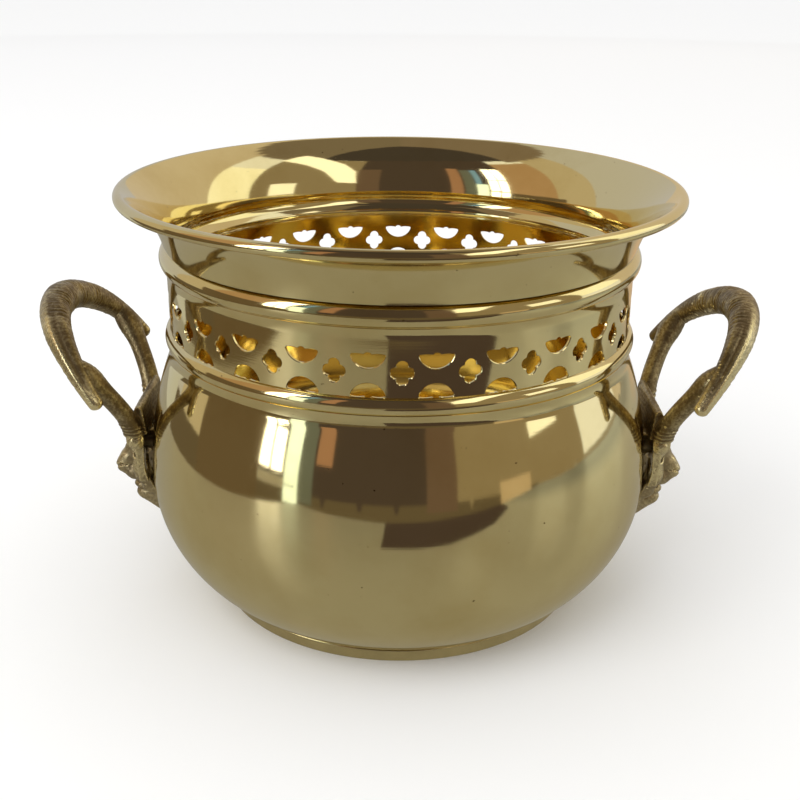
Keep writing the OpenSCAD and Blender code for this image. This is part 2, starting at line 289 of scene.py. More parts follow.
def ellipsoid(p, centre, radii):
    """Distance, near the surface, to an ellipsoid along the axes."""
    q = [(p[i] - centre[i]) / radii[i] for i in range(3)]
    w = [q[i] / radii[i] for i in range(3)]
    k0 = np.sqrt(q[0] ** 2 + q[1] ** 2 + q[2] ** 2)
    k1 = np.sqrt(w[0] ** 2 + w[1] ** 2 + w[2] ** 2) + 1e-6
    return k0 * (k0 - 1) / k1


def capsule(p, a, b, ra, rb):
    """Distance to a round bar from a to b whose radius runs from ra to rb."""
    ba = np.subtract(b, a)
    pa = [p[i] - a[i] for i in range(3)]
    h = np.clip((pa[0] * ba[0] + pa[1] * ba[1] + pa[2] * ba[2]) / float(ba @ ba), 0, 1)
    d = np.sqrt(sum((pa[i] - ba[i] * h) ** 2 for i in range(3)))
    return d - (ra + (rb - ra) * h)


def grid(low, high, step):
    """Open coordinate arrays of a box of sample points."""
    axes = [np.arange(low[i], high[i] + step, step, dtype=np.float32) for i in range(3)]
    return np.meshgrid(*axes, indexing="ij", sparse=True)


def edge_crossings(values, axis):
    """Which steps along an axis change sign, which start inside, and how far along they cross."""
    first, second = [slice(None)] * 3, [slice(None)] * 3
    first[axis], second[axis] = slice(0, -1), slice(1, None)
    a, b = values[tuple(first)], values[tuple(second)]
    cross = (a < 0) != (b < 0)
    return cross, a < 0, np.where(cross, a / np.where(cross, a - b, 1), 0)


def cell_corners(crossings, cells):
    """How many crossings each cell has on its edges, and their sum in steps."""
    base = np.stack(np.meshgrid(*[np.arange(c, dtype=np.float32) for c in cells], indexing="ij"), -1)
    count = np.zeros(cells, np.float32)
    total = np.zeros(cells + (3,), np.float32)
    for axis, (cross, _, share) in enumerate(crossings):
        others = [i for i in range(3) if i != axis]
        for shift in ((0, 0), (0, 1), (1, 0), (1, 1)):
            cut = [slice(None)] * 3
            place = base.copy()
            for other, by in zip(others, shift):
                cut[other] = slice(by, cells[other] + by)
                place[..., other] += by
            place[..., axis] += share[tuple(cut)]
            here = cross[tuple(cut)]
            total += np.where(here[..., None], place, 0)
            count += here
    return count, total


def surface_net(values, low, step):
    """Verts and quads of the zero level of a box of signed distances."""
    cells = tuple(n - 1 for n in values.shape)
    crossings = [edge_crossings(values, axis) for axis in range(3)]
    count, total = cell_corners(crossings, cells)
    used = count > 0
    index = np.full(cells, -1, np.int64)
    index[used] = np.arange(int(used.sum()))
    verts = np.array(low) + step * total[used] / count[used][:, None]
    faces = []
    for axis, (cross, inside, _) in enumerate(crossings):
        others = [(axis + 1) % 3, (axis + 2) % 3]
        at = np.argwhere(cross)
        at = at[np.all([(at[:, k] >= 1) & (at[:, k] <= cells[k] - 1) for k in others], axis=0)]
        ring = []
        for shift in ((1, 1), (0, 1), (0, 0), (1, 0)):
            cell = at.copy()
            cell[:, others] -= shift
            ring.append(index[tuple(cell.T)])
        quad = np.stack(ring, axis=1)
        outward = inside[tuple(at.T)]
        quad[~outward] = quad[~outward][:, ::-1]
        faces.append(quad)
    return verts, np.vstack(faces)


def outer_skin(verts, faces):
    """The largest connected skin alone, without the closed hollows inside thick places."""
    label = np.arange(len(verts))
    while True:
        lower = label.copy()
        np.minimum.at(lower, faces, label[faces].min(axis=1)[:, None])
        lower = lower[lower]
        if np.array_equal(lower, label):
            break
        label = lower
    kept = faces[label[faces[:, 0]] == np.bincount(label[faces[:, 0]]).argmax()]
    used, index = np.unique(kept, return_inverse=True)
    return verts[used], index.reshape(kept.shape)


def cast_mesh(field, low, high, step):
    """The skin of a field of distances between two corners of a box."""
    values = field(grid(low, high, step)).astype(np.float32)
    return outer_skin(*surface_net(values, low, step))



def mirrored(verts, faces):
    """The left-hand copy of a right-hand mesh."""
    return verts * np.array([-1, 1, 1]), [list(f)[::-1] for f in faces]


# ---- materials

def shader_of(material):
    """The main shader of a material."""
    return next(n for n in material.node_tree.nodes if n.type == "BSDF_PRINCIPLED")


def metal(name):
    """A metallic material, its node tree and its shader."""
    material = bpy.data.materials.new(name)
    material.use_nodes = True
    shader = shader_of(material)
    shader.inputs["Metallic"].default_value = 1.0
    return material, material.node_tree, shader


def node(tree, kind, **values):
    """A shader node with its settings and unlinked inputs."""
    made = tree.nodes.new(kind)
    for key, value in values.items():
        if key.startswith("in_"):
            made.inputs[int(key[3:])].default_value = value
        else:
            setattr(made, key, value)
    return made


def math_node(tree, operation, a, b):
    """One step of arithmetic on two numbers or sockets."""
    made = node(tree, "ShaderNodeMath", operation=operation)
    for i, value in enumerate((a, b)):
        if isinstance(value, (int, float)):
            made.inputs[i].default_value = value
        else:
            tree.links.new(value, made.inputs[i])
    return made.outputs[0]


def plus(tree, a, b):
    """Socket a plus socket or number b."""
    return math_node(tree, "ADD", a, b)


def times(tree, a, b):
    """Socket a times socket or number b."""
    return math_node(tree, "MULTIPLY", a, b)


def centred(tree, a, share):
    """A value from 0 to 1 moved to run evenly about 0, times a share."""
    return times(tree, math_node(tree, "SUBTRACT", a, 0.5), share)


def ramp(tree, source, stops):
    """Colours by the value of a socket, from stops (place, colour)."""
    made = node(tree, "ShaderNodeValToRGB")
    elements = made.color_ramp.elements
    while len(elements) < len(stops):
        elements.new(0.5)
    for element, (place, colour) in zip(elements, stops):
        element.position = place
        element.color = (*colour, 1)
    tree.links.new(source, made.inputs[0])
    return made.outputs[0]


def noise(tree, vector, scale, detail, roughness):
    """Cloudy noise from 0 to 1."""
    made = node(tree, "ShaderNodeTexNoise")
    made.inputs["Scale"].default_value = scale
    made.inputs["Detail"].default_value = detail
    made.inputs["Roughness"].default_value = roughness
    tree.links.new(vector, made.inputs["Vector"])
    return made.outputs[0]


def mix_colour(tree, amount, a, b):
    """Colour a, running to colour b by an amount."""
    made = node(tree, "ShaderNodeMix", data_type="RGBA", blend_type="MIX")
    for socket, value in ((made.inputs[0], amount), (made.inputs[6], a), (made.inputs[7], b)):
        if isinstance(value, tuple):
            socket.default_value = (*value, 1)
        else:
            tree.links.new(value, socket)
    return made.outputs[2]


def turned_vector(tree, along, up):
    """Coordinates that run round the axis (times along) and up it (times up)."""
    place = node(tree, "ShaderNodeTexCoord").outputs["Object"]
    split = node(tree, "ShaderNodeSeparateXYZ")
    tree.links.new(place, split.inputs[0])
    angle = math_node(tree, "ARCTAN2", split.outputs[1], split.outputs[0])
    squares = [times(tree, split.outputs[i], split.outputs[i]) for i in range(2)]
    radius = math_node(tree, "POWER", plus(tree, *squares), 0.5)
    made = node(tree, "ShaderNodeCombineXYZ")
    for i, (value, scale) in enumerate(((angle, along), (split.outputs[2], up), (radius, up))):
        tree.links.new(times(tree, value, scale), made.inputs[i])
    return made.outputs[0]


def add_bump(tree, shader, height, strength, distance, after=None):
    """Raises the surface by a height, on top of an earlier bump if there is one."""
    made = node(tree, "ShaderNodeBump")
    made.inputs["Strength"].default_value = strength
    made.inputs["Distance"].default_value = distance
    tree.links.new(height, made.inputs["Height"])
    if after is not None:
        tree.links.new(after, made.inputs["Normal"])
    tree.links.new(made.outputs[0], shader.inputs["Normal"])
    return made.outputs[0]


def spun_brass(name, tint):
    """Polished sheet brass: faint spinning lines, buffing marks, tarnish and small specks."""
    material, tree, shader = metal(name)
    place = node(tree, "ShaderNodeTexCoord").outputs["Object"]
    lines = noise(tree, turned_vector(tree, 0.25, 1900), 1.0, 3.0, 0.6)
    cloud = noise(tree, place, 26.0, 4.0, 0.6)
    specks = noise(tree, place, 420.0, 2.0, 0.5)
    dark = tuple(c * f for c, f in zip(tint, (0.88, 0.84, 0.74)))
    colour = mix_colour(tree, ramp(tree, cloud, [(0.45, (0, 0, 0)), (0.80, (1, 1, 1))]), tint, dark)
    spots = ramp(tree, specks, [(0.755, (0, 0, 0)), (0.785, (1, 1, 1))])
    colour = mix_colour(tree, spots, colour, (0.16, 0.10, 0.035))
    tree.links.new(colour, shader.inputs["Base Color"])
    rough = plus(tree, plus(tree, times(tree, cloud, 0.07), times(tree, lines, 0.04)), 0.015)
    rough = plus(tree, rough, times(tree, spots, 0.25))
    tree.links.new(rough, shader.inputs["Roughness"])
    wave = noise(tree, place, 34.0, 1.0, 0.4)
    first = add_bump(tree, shader, wave, 0.20, 0.0006)
    add_bump(tree, shader, lines, 0.10, 0.00004, first)
    return material


def cast_brass(name, dark, light):
    """Rough cast brass: brown in its hollows, bright from polish on its high points, and brighter still
    where each piece's stored share adds painted highlight and painted light.
    """
    material, tree, shader = metal(name)
    place = node(tree, "ShaderNodeTexCoord").outputs["Object"]
    high = node(tree, "ShaderNodeNewGeometry").outputs["Pointiness"]
    shader.inputs["Metallic"].default_value = 0.93
    grain = noise(tree, place, 760.0, 5.0, 0.7)
    cloud = noise(tree, place, 95.0, 4.0, 0.62)
    uneven = plus(tree, centred(tree, cloud, 0.12), centred(tree, grain, 0.12))
    polish_and_painted_light = node(tree, "ShaderNodeAttribute", attribute_name="polish_and_painted_light").outputs["Fac"]
    high = plus(tree, high, times(tree, polish_and_painted_light, 0.085))
    wear_and_painted_highlight = ramp(tree, plus(tree, high, uneven), [(0.50, (0, 0, 0)), (0.585, (1, 1, 1))])
    # bright brass where worn: polish on the high points, plus painted highlight and painted light from
    # the stored share
    colour = mix_colour(tree, wear_and_painted_highlight, mix_colour(tree, cloud, dark, light), (0.88, 0.76, 0.43))
    tree.links.new(colour, shader.inputs["Base Color"])
    rough = math_node(tree, "SUBTRACT", 0.40, times(tree, wear_and_painted_highlight, 0.24))
    rough = plus(tree, rough, centred(tree, grain, 0.2))
    tree.links.new(rough, shader.inputs["Roughness"])
    first = add_bump(tree, shader, grain, 0.5, 0.00028)
    add_bump(tree, shader, cloud, 0.4, 0.0008, first)
    return material


def plain_brass(name, tint, roughness):
    """Brass of the small fittings and of the foot: softer gloss, fine scratches."""
    material, tree, shader = metal(name)
    place = node(tree, "ShaderNodeTexCoord").outputs["Object"]
    cloud = noise(tree, place, 120.0, 4.0, 0.6)
    lines = noise(tree, turned_vector(tree, 1.5, 1500), 1.0, 3.0, 0.6)
    dark = tuple(c * 0.72 for c in tint)
    tree.links.new(mix_colour(tree, cloud, tint, dark), shader.inputs["Base Color"])
    tree.links.new(plus(tree, times(tree, cloud, 0.16), roughness), shader.inputs["Roughness"])
    add_bump(tree, shader, lines, 0.25, 0.00006)
    return material


# ---- spun pieces

def build_bowl(material):
    """Floor, belly and waist: one sheet, up to the joint under the collar."""
    outer = bowl_path()
    inner = inside_of(outer, SHEET)
    inner[0, 0] = 0.0
    inner[-1] = outer[-1] - np.array([SHEET, 0])
    piece = lathe("bowl_shell", np.vstack((outer, inner[::-1])), material)
    return stand_for(piece, "bowl")


def build_foot(material):
    """The foot ring: a short flared wall with a rounded lower edge and a soft seam bead."""
    edge = 0.5
    top = FOOT_TOP_Z
    outer_low = arc((FOOT_R - edge, edge), edge, -90, -10, 6)
    seam = arc((FOOT_TOP_R - 0.55, top - 0.7), 0.6, -70, 90, 8)
    under = wall_top(FOOT_TOP_R - FOOT_T)
    path = np.vstack((
        [[FOOT_R - FOOT_T, 0.0]], outer_low, seam,
        [[FOOT_TOP_R - FOOT_T, under]]))
    piece = lathe("foot_band", path, material)
    return stand_for(piece, "foot_ring")


def wall_top(radius):
    """Height of the bowl's underside at that radius."""
    x = radius - (BELLY_R - BELLY_LOW_R)
    return BELLY_Z - math.sqrt(BELLY_LOW_R ** 2 - x * x) - GAP


def build_rim_wire(material):
    """The round wire inside the rolled rim."""
    start, end = 180 - FLARE_LEAN, ROLL_END
    wire_r = ROLL_R - SHEET
    ring = np.vstack((arc(roll_centre(), wire_r, start, end, 30),
                      arc(roll_centre(), wire_r, end, start - 360, 10)[1:-1]))
    piece = lathe("rim_core", ring[::-1], material)
    return stand_for(piece, "rim_wire")


# ---- pierced collar

def quatrefoil_outline(n=72):
    """Four round lobes round a round middle, about (0, 0)."""
    a = 2 * np.pi * np.arange(n) / n
    u = np.column_stack((np.cos(a), np.sin(a)))
    reach = np.full(n, LOBE_R)
    for c in ((LOBE_SIDE, 0), (-LOBE_SIDE, 0), (0, LOBE_RISE), (0, -LOBE_RISE)):
        along = u @ np.array(c)
        room = LOBE_R ** 2 - np.dot(c, c) + along ** 2
        reach = np.where(room > 0, np.maximum(reach, along + np.sqrt(np.maximum(room, 0))), reach)
    return u * reach[:, None]


def half_moon_outline():
    """A half-moon that hangs from a scalloped edge at height 0, which has a bump midway."""
    centre = MOON_R - MOON_DEPTH
    corner = math.sqrt(MOON_R ** 2 - centre ** 2)
    swing = math.degrees(math.asin(centre / MOON_R))
    round_edge = arc((0, centre), MOON_R, 180 + swing + 4, 360 - swing - 4, 40)
    x = np.linspace(corner - 0.35, -corner + 0.35, 41)
    side = 0.35 * (1 - ((np.abs(x) - 3.9) / 2.7) ** 2)
    bump = 0.85 * np.sqrt(np.maximum(1 - (x / BUMP_R) ** 2, 0))
    return np.vstack((round_edge, np.column_stack((x, np.maximum(side, bump)))))


def grown(outline, by):
    """The outline moved outward by a distance, corners limited."""
    ahead = np.roll(outline, -1, 0) - outline
    behind = outline - np.roll(outline, 1, 0)
    ahead /= np.linalg.norm(ahead, axis=1)[:, None]
    behind /= np.linalg.norm(behind, axis=1)[:, None]
    mean = ahead + behind
    mean /= np.linalg.norm(mean, axis=1)[:, None]
    scale = by / np.clip((mean * ahead).sum(1), 0.6, 1)
    return outline + np.column_stack((mean[:, 1], -mean[:, 0])) * scale[:, None]


def cell_outlines():
    """The three holes of one repeat, in millimetres along the band and up it."""
    moon = half_moon_outline()
    lower = (moon * np.array([1, -1]))[::-1]
    return [moon + [0, MOONS_Z + MOON_REACH], lower + [0, MOONS_Z - MOON_REACH],
            quatrefoil_outline() + [PITCH / 2, QUATREFOIL_Z]]


def in_outline(points, outline):
    """Which points lie inside a closed outline."""
    x, y = points[:, 0][:, None], points[:, 1][:, None]
    a, b = outline[None], np.roll(outline, -1, 0)[None]
    spans = (a[..., 1] > y) != (b[..., 1] > y)
    with np.errstate(divide="ignore", invalid="ignore"):
        cut = a[..., 0] + (y - a[..., 1]) * (b[..., 0] - a[..., 0]) / (b[..., 1] - a[..., 1])
    return (np.where(spans, x < cut, False).sum(1) % 2) == 1


def perforated_cell(low, high, outlines):
    """Verts and triangles of one repeat of the band, laid flat, from low to high."""
    columns = CELL_LEFT + PITCH * np.arange(STEPS_A_CELL + 1) / STEPS_A_CELL
    rows = np.linspace(low, high, 29)
    points, edges = [], []

    def loop(ring):
        first = len(points)
        points.extend(ring.tolist())
        edges.extend((first + i, first + (i + 1) % len(ring)) for i in range(len(ring)))

    border = ([(x, low) for x in columns[:-1]] + [(columns[-1], z) for z in rows[:-1]]
              + [(x, high) for x in columns[:0:-1]] + [(columns[0], z) for z in rows[:0:-1]])
    loop(np.array(border))
    for outline in outlines:
        loop(outline)
    inner = np.array([(x, z) for x in columns[1:-1] for z in rows[1:-1]])
    edge_points = np.vstack(outlines)
    gap = np.sqrt(((inner[:, None] - edge_points[None]) ** 2).sum(-1)).min(1)
    keep = gap > 0.45
    for outline in outlines:
        keep &= ~in_outline(inner, outline)
    points.extend(inner[keep].tolist())
    flat, _, triangles = delaunay_2d_cdt([Vector(p) for p in points], edges, [], 0, 1e-6, False)[:3]
    flat = np.array([(v.x, v.y) for v in flat])
    triangles = np.array([t for t in triangles])
    middle = flat[triangles].mean(1)
    hole = np.zeros(len(triangles), bool)
    for outline in outlines:
        hole |= in_outline(middle, outline)
    return flat, triangles[~hole]


def wrapped(flat, radius, turn):
    """Panel points (millimetres along the band's outer face, height) on the cylinder."""
    a = flat[:, 0] / BAND_R + turn
    return np.column_stack((radius * np.sin(a), -radius * np.cos(a), flat[:, 1]))


def pierced_band(low_out, high_out, low_in, high_in):
    """Verts and faces of the band: both faces and the walls of its holes."""
    outlines = cell_outlines()
    wide = [grown(o, HOLE_CHAMFER) for o in outlines]
    front, front_faces = perforated_cell(low_out, high_out, wide)
    back, back_faces = perforated_cell(low_in, high_in, outlines)
    verts, faces, count = [], [], 0
    for i in range(REPEATS):
        turn = math.radians(PATTERN_TURN) + 2 * math.pi * (i + 0.5) / REPEATS
        for flat, tris, radius, flip in ((front, front_faces, BAND_R, False),
                                         (back, back_faces, BAND_R - SHEET, True)):
            verts.append(wrapped(flat, radius, turn))
            faces.extend((t[::-1] if flip else t) for t in (tris + count).tolist())
            count += len(flat)
        for outline, wider in zip(outlines, wide):
            rings = [wrapped(wider, BAND_R, turn), wrapped(outline, BAND_R - HOLE_CHAMFER, turn),
                     wrapped(outline, BAND_R - SHEET, turn)]
            m = len(outline)
            for k in range(2):
                for j in range(m):
                    n = (j + 1) % m
                    a, b = count + k * m, count + (k + 1) * m
                    faces.append([a + j, b + j, b + n, a + n])
            verts.extend(rings)
            count += 3 * m
    return np.vstack(verts), faces


def build_collar(material):
    """Lower bead, pierced band, cove, upper bead, flare and the sheet rolled over the wire."""
    bead, wall = low_bead(), upper_wall()
    whole = np.vstack((bead, wall))
    inner = inside_of(whole, SHEET)
    inner[0] = whole[0] - np.array([SHEET, 0])
    bead_in, wall_in = inner[:len(bead)], inner[len(bead):]
    bead_in[-1, 0] = wall_in[0, 0] = BAND_R - SHEET
    start = 180 - FLARE_LEAN
    roll_in = arc(roll_centre(), ROLL_R - SHEET, start, ROLL_END, 54)
    roll_out = arc(roll_centre(), ROLL_R, start, ROLL_END, 54)
    top = np.vstack((wall, roll_in[1:], roll_out[::-1], wall_in[-2::-1]))
    # columns of the lathe stand where the band's columns do
    turn = PATTERN_TURN + 180 / REPEATS + math.degrees(CELL_LEFT / BAND_R)
    parts = [spin(top, turn=turn),
             spin(np.vstack((bead_in[::-1], bead)), turn=turn),
             pierced_band(bead[-1, 1], wall[0, 1], bead_in[-1, 1], wall_in[0, 1])]
    verts, faces, count = [], [], 0
    for v, f in parts:
        verts.append(v)
        faces.extend([a + count for a in face] for face in f)
        count += len(v)
    verts, faces = merged(np.vstack(verts), faces, 3)
    piece = new_mesh("collar_shell", verts * MM, faces, material)
    return stand_for(piece, "collar")


# ---- horns

HORN_CURVE = np.array([TIP, TIP + [15, -7.2, 20.9], [LOOP[0], 20.6, LOOP[2]], LOOP])


def horn_line(s):
    """Middle line of the two horns: s from -1 at one tip over the loop's top to 1."""
    p = bezier(HORN_CURVE, 1 - np.minimum(np.abs(s), 1))
    end = HORN_CURVE[0] - HORN_CURVE[1]
    beyond = np.maximum(np.abs(s) - 1, 0)[:, None] * end / np.linalg.norm(end)
    p = p + beyond * 60
    return p * np.column_stack((np.ones(len(s)), np.sign(s), np.ones(len(s))))


def horn_radius(s):
    """Radius of the horn, largest over the loop's top and smallest at a tip."""
    a = np.abs(s)
    return np.where(a > 0.5, HORN_TIP_R + (HORN_MIDDLE_R - HORN_TIP_R) * (1 - a) / 0.5,
                    HORN_MIDDLE_R + (HORN_R - HORN_MIDDLE_R) * (0.5 - a) / 0.5)


def from_keel(phi):
    """Angle round the horn from its keel, from -pi to pi."""
    return np.angle(np.exp(1j * (phi - math.radians(KEEL_AT))))


def horn_relief(phi, run, a):
    """Keel, growth ribs and worn lumps as a share of the horn's radius.

    phi is the angle round the horn, run the distance from the loop's top in millimetres and
    a that distance as a share of the horn's length.
    """
    off = from_keel(phi)
    fade = np.clip((1.02 - a) / 0.2, 0, 1)
    low = np.clip((a - 0.25) / 0.35, 0, 1)
    keel = (0.01 + 0.12 * low) * np.exp(-(off / 0.26) ** 2) * fade
    groove = -0.06 * low * fade * np.exp(-((off + 0.48) / 0.15) ** 2)
    inner_keel = 0.06 * low * fade * np.exp(-((off + 1.15) / 0.26) ** 2)
    uneven = 0.55 * np.sin(run * 0.61 + 1.0) + 0.35 * np.sin(run * 1.37 + 2.0)
    phase = (run + 0.45 * uneven + 1.5 * np.sin(phi + 0.4) + 0.5 * np.sin(3 * phi)) / 2.5
    tooth = np.abs((phase % 1) - 0.5) * 2
    ribbed = np.clip(0.35 + 1.2 * np.cos(phi + 1.9), 0, 1) * np.clip((0.66 - a) / 0.25, 0, 1)
    ribbed = ribbed * (0.55 + 0.45 * np.sin(run * 0.45 + 2 * phi))
    ribs = -0.052 * (1 - tooth ** 1.4) * ribbed
    behind = np.clip(np.cos(phi - 1.7), 0, 1)
    step = (run / 5.2 + 0.2 * np.sin(run * 0.9)) % 1
    lumps = -0.075 * step ** 2 * behind * low * fade
    pits = -0.016 * (0.5 + 0.5 * np.sin(run * 2.9 + 3 * phi) * np.sin(5 * phi - 1.1 * run))
    return 0.955 + keel + groove + inner_keel + ribs + lumps + pits


def horn_polish_and_painted_highlight(phi, a):
    """Share of brightening, partly real polish and partly painted highlight: the keel and the outer side
    of the lower half, where the highlight falls, and the tips.
    """
    off = from_keel(phi)
    # painted highlight: the keel and the outer lower side are brightened where reflections light them, on
    # top of their polish
    side = np.clip((off + 0.30) / 0.25, 0, 1) * np.clip((1.45 - off) / 0.7, 0, 1)
    tip = np.clip((a - 0.86) / 0.12, 0, 1) * np.clip((off + 1.6) / 0.5, 0, 1)
    return np.maximum(0.85 * side * np.clip((a - 0.15) / 0.35, 0, 1), 0.8 * tip)


def build_horns(material, node_name):
    """A ribbed crescent with a keel along its outer side and blunt tips."""
    sides, cap = 96, 0.045
    s = np.concatenate((np.linspace(-1 - cap, -1, 14)[:-1], np.linspace(-1, 1, 761),
                        np.linspace(1, 1 + cap, 14)[1:]))
    line = horn_line(s)
    tangent = np.gradient(line, axis=0)
    tangent /= np.linalg.norm(tangent, axis=1)[:, None]
    plane = np.array([LOOP[2] - TIP[2], 0, TIP[0] - LOOP[0]])
    plane /= np.linalg.norm(plane)
    out = np.cross(plane, tangent)
    out /= np.linalg.norm(out, axis=1)[:, None]
    up = np.cross(tangent, out)
    length = np.concatenate(([0], np.cumsum(np.linalg.norm(np.diff(line, axis=0), axis=1))))
    length -= length[len(s) // 2]
    a = np.abs(s)[:, None]
    beyond = np.clip((a - 1) / cap, 0, 1)
    radius = np.where(a > 1, HORN_TIP_R, horn_radius(a)) * np.sqrt(np.maximum(1 - beyond ** 2, 0.02))
    phi = 2 * np.pi * np.arange(sides)[None, :] / sides
    run = np.abs(length)[:, None]
    shape = radius * horn_relief(phi, run, a)
    verts, faces = sweep(line, out, up, shape * np.cos(phi), shape * np.sin(phi))
    if node_name.startswith("left"):
        verts, faces = mirrored(verts, faces)
    piece = new_mesh(node_name.replace("horns", "ribbed_horns"), verts * MM, faces, material, 60)
    mark_polish_and_painted_light(piece, horn_polish_and_painted_highlight(phi, a).reshape(-1))
    return stand_for(piece, node_name)


# ---- forks and masks

ARM_CURVE = np.array([[ROOT_X, ROOT_Y, CROWN_Z - 3], [ROOT_X - 5.3, ROOT_Y - 3.5, CROWN_Z + 3.2],
                      [129.3, 43.9, 111.3], bezier(HORN_CURVE, np.array([ARM_JOINT]))[0]])


def chain(q, line, radius):
    """Signed distance of a round bar along a line whose radius changes from point to point."""
    field = np.float32(1e3)
    for i in range(len(line) - 1):
        field = np.minimum(field, capsule(q, line[i], line[i + 1], radius[i], radius[i + 1]))
    return field


def dimples(p, a, b, c, d, e):
    """Uneven hammering from -1 to 1, with a wave number for each slant."""
    x, y, z = p
    return np.sin(a * x + b * z) * np.sin(c * y - d * z) * np.sin(e * z + x)


def fork_field(p):
    """Signed distance of the right-hand fork: swollen arms, cuffs and the yoke between them."""
    q = [p[0], np.abs(p[1]), p[2]]
    run = np.linspace(0, 1, 23)
    line = bezier(ARM_CURVE, run)
    radius = 4.1 + 0.6 * np.exp(-(run / 0.2) ** 2) + 1.3 * np.exp(-((run - 0.76) / 0.11) ** 2)
    radius = radius - 0.5 * np.clip((run - 0.85) / 0.15, 0, 1)
    arm = chain(q, line, radius)
    axis = line[3] - line[0]
    axis /= np.linalg.norm(axis)
    along = sum((q[i] - line[0][i]) * axis[i] for i in range(3))
    cuff = np.clip((10.5 - along) / 1.2, 0, 1) * np.clip((q[1] - ROOT_Y + 4.5) / 2, 0, 1)
    rings = 0.5 + 0.5 * np.cos(2 * np.pi * (along + 0.25 * (q[0] - ROOT_X)) / 1.9)
    grain = dimples(q, 1.7, 0.6, 1.5, 0.8, 1.2)
    arm = arm + 0.07 * grain - 0.5 * cuff * rings
    flat = [p[0], 0.0, p[2]]
    yoke = capsule(flat, (YOKE_X, 0, CROWN_Z), (YOKE_X, 0, YOKE_Z - 1.8), 3.4, 1.8)
    yoke = yoke - 0.07 * np.cos(2 * np.pi * (p[2] + 0.1 * q[1]) / 2.0) + 0.06 * grain
    yoke = np.maximum(yoke, q[1] - ROOT_Y)
    field = np.maximum(smooth_union(arm, yoke, 1.4), CROWN_Z - p[2])
    part = np.linspace(0.42, 1, 9)
    horn = chain(q, horn_line(part), horn_radius(part) * 0.86)
    return np.maximum(field, -horn)


def build_fork(material, node_name, mesh):
    """The two arms and their yoke."""
    verts, faces = mirrored(*mesh) if node_name.startswith("left") else mesh
    piece = new_mesh(node_name.replace("fork", "forked_arms"), verts * MM, faces, material, 50)
    return stand_for(piece, node_name)


def with_muzzle(head, q):
    """The head with its long nose, soft muzzle and nostril wings."""
    nose = rounded_box(leaned(q, (124.9, 0, 52.4), 30), (1.9, 0.9, 1.7), 4.3)
    return joined(head,
                  (capsule(q, (117.4, 0, 68), (123.2, 0, 56.0), 6.2, 5.3), 2.4),
                  (ellipsoid(q, (117.2, 8.4, 54.0), (5.0, 5.4, 8.4)), 2.0),
                  (nose, 1.6),
                  (ellipsoid(q, (120.4, 0, 48.8), (6.6, 6.9, 5.6)), 2.4),
                  (capsule(q, (126.6, 2.6, 52.6), (123.4, 5.0, 49.4), 2.0, 1.5), 1.4))


def with_eyes(head, q):
    """The head with brows, side-set eyes in their sockets, lids and cheekbones."""
    head = joined(head, (capsule(q, (121.4, 4.4, 66.4), (116.2, 14.8, 65.8), 2.1, 1.9), 1.0))
    head = smooth_cut(head, ellipsoid(q, (119.8, 11.6, 61.8), (3.0, 3.2, 1.9)), 1.0)
    return joined(head,
                  (ellipsoid(q, (117.4, 11.2, 61.5), (2.5, 2.8, 1.6)), 0.3),
                  (capsule(q, (120.0, 8.2, 60.4), (115.8, 14.0, 60.6), 0.8, 0.7), 0.4),
                  (capsule(q, (119.8, 8.4, 58.0), (116.8, 7.6, 47.2), 1.6, 1.2), 1.0))


def with_mouth(head, q):
    """The head with lower lip and jaw, slit nostrils, the cleft and the mouth's two lines."""
    head = joined(head, (ellipsoid(q, (117.8, 0, 41.8), (6.3, 4.9, 2.8)), 0.9),
                  (ellipsoid(q, (116.4, 0, 37.6), (6.9, 5.3, 4.5)), 0.8))
    for start, end, width, depth in (((1.5, 50.6), (4.6, 53.0), 0.5, 0.9),
                                     ((0.0, 50.2), (0.0, 45.4), 0.35, 0.9),
                                     ((0.0, 44.8), (3.2, 43.9), 0.5, 1.8),
                                     ((3.2, 43.9), (7.4, 46.4), 0.5, 1.3)):
        head = engraved(head, q, start, end, width, depth)
    return head


def with_ears(head, q):
    """The head with hanging ears, a fold down each and a curl behind the cheek."""
    ear = rounded_box(turned(q, (114.2, 16.9, 61.2), 11), (2.9, 0.9, 10.6), 0.9)
    return joined(head, (ear, 0.5),
                  (capsule(q, (117.4, 20.2, 71.6), (116.9, 15.4, 50.6), 0.75, 0.85), 0.5),
                  (ellipsoid(q, (113.8, 13.4, 54.4), (2.9, 2.5, 2.2)), 0.5))


def with_beard(head, q):
    """The head with a pointed beard and side whiskers, combed into strands."""
    beard = joined(capsule(q, (115.4, 0, 36.6), (106.8, 0, 25.2), 4.9, 1.5),
                   (capsule(q, (113.8, 9.8, 51.0), (112.2, 4.6, 36.5), 2.6, 2.2), 2.0))
    comb = np.cos(2 * np.pi * (q[1] - 0.3 * (q[2] - 30)) / 2.3)
    strand = 0.36 * np.clip((52 - q[2]) / 8, 0, 1) * comb
    return smooth_union(head, beard + strand, 0.7)


def mask_outside(p):
    """Signed distance of the horned animal's head without its hollow, in millimetres."""
    x, z = p[0], p[2]
    q = [x, np.abs(p[1]), z]
    head = joined(capsule(q, (117.0, 0, 71.5), (116.9, ROOT_Y - 1.2, 72.4), 5.4, 4.7),
                  (ellipsoid(q, (114.0, 0, 66), (9.4, 17.5, 11)), 3),
                  (capsule(q, (115.0, 9.0, 62), (114.6, 5.5, 44), 6.0, 4.8), 4))
    for add in (with_muzzle, with_eyes, with_mouth, with_ears, with_beard):
        head = add(head, q)
    crown = np.clip((z - 66.5) / 4, 0, 1) * np.clip((x - 112) / 4, 0, 1)
    tufts = 0.5 + 0.5 * np.cos(2 * np.pi * q[1] / 1.9)
    return head + 0.25 * crown * tufts + 0.10 * dimples(q, 1.9, 0.7, 1.6, 0.9, 1.3)



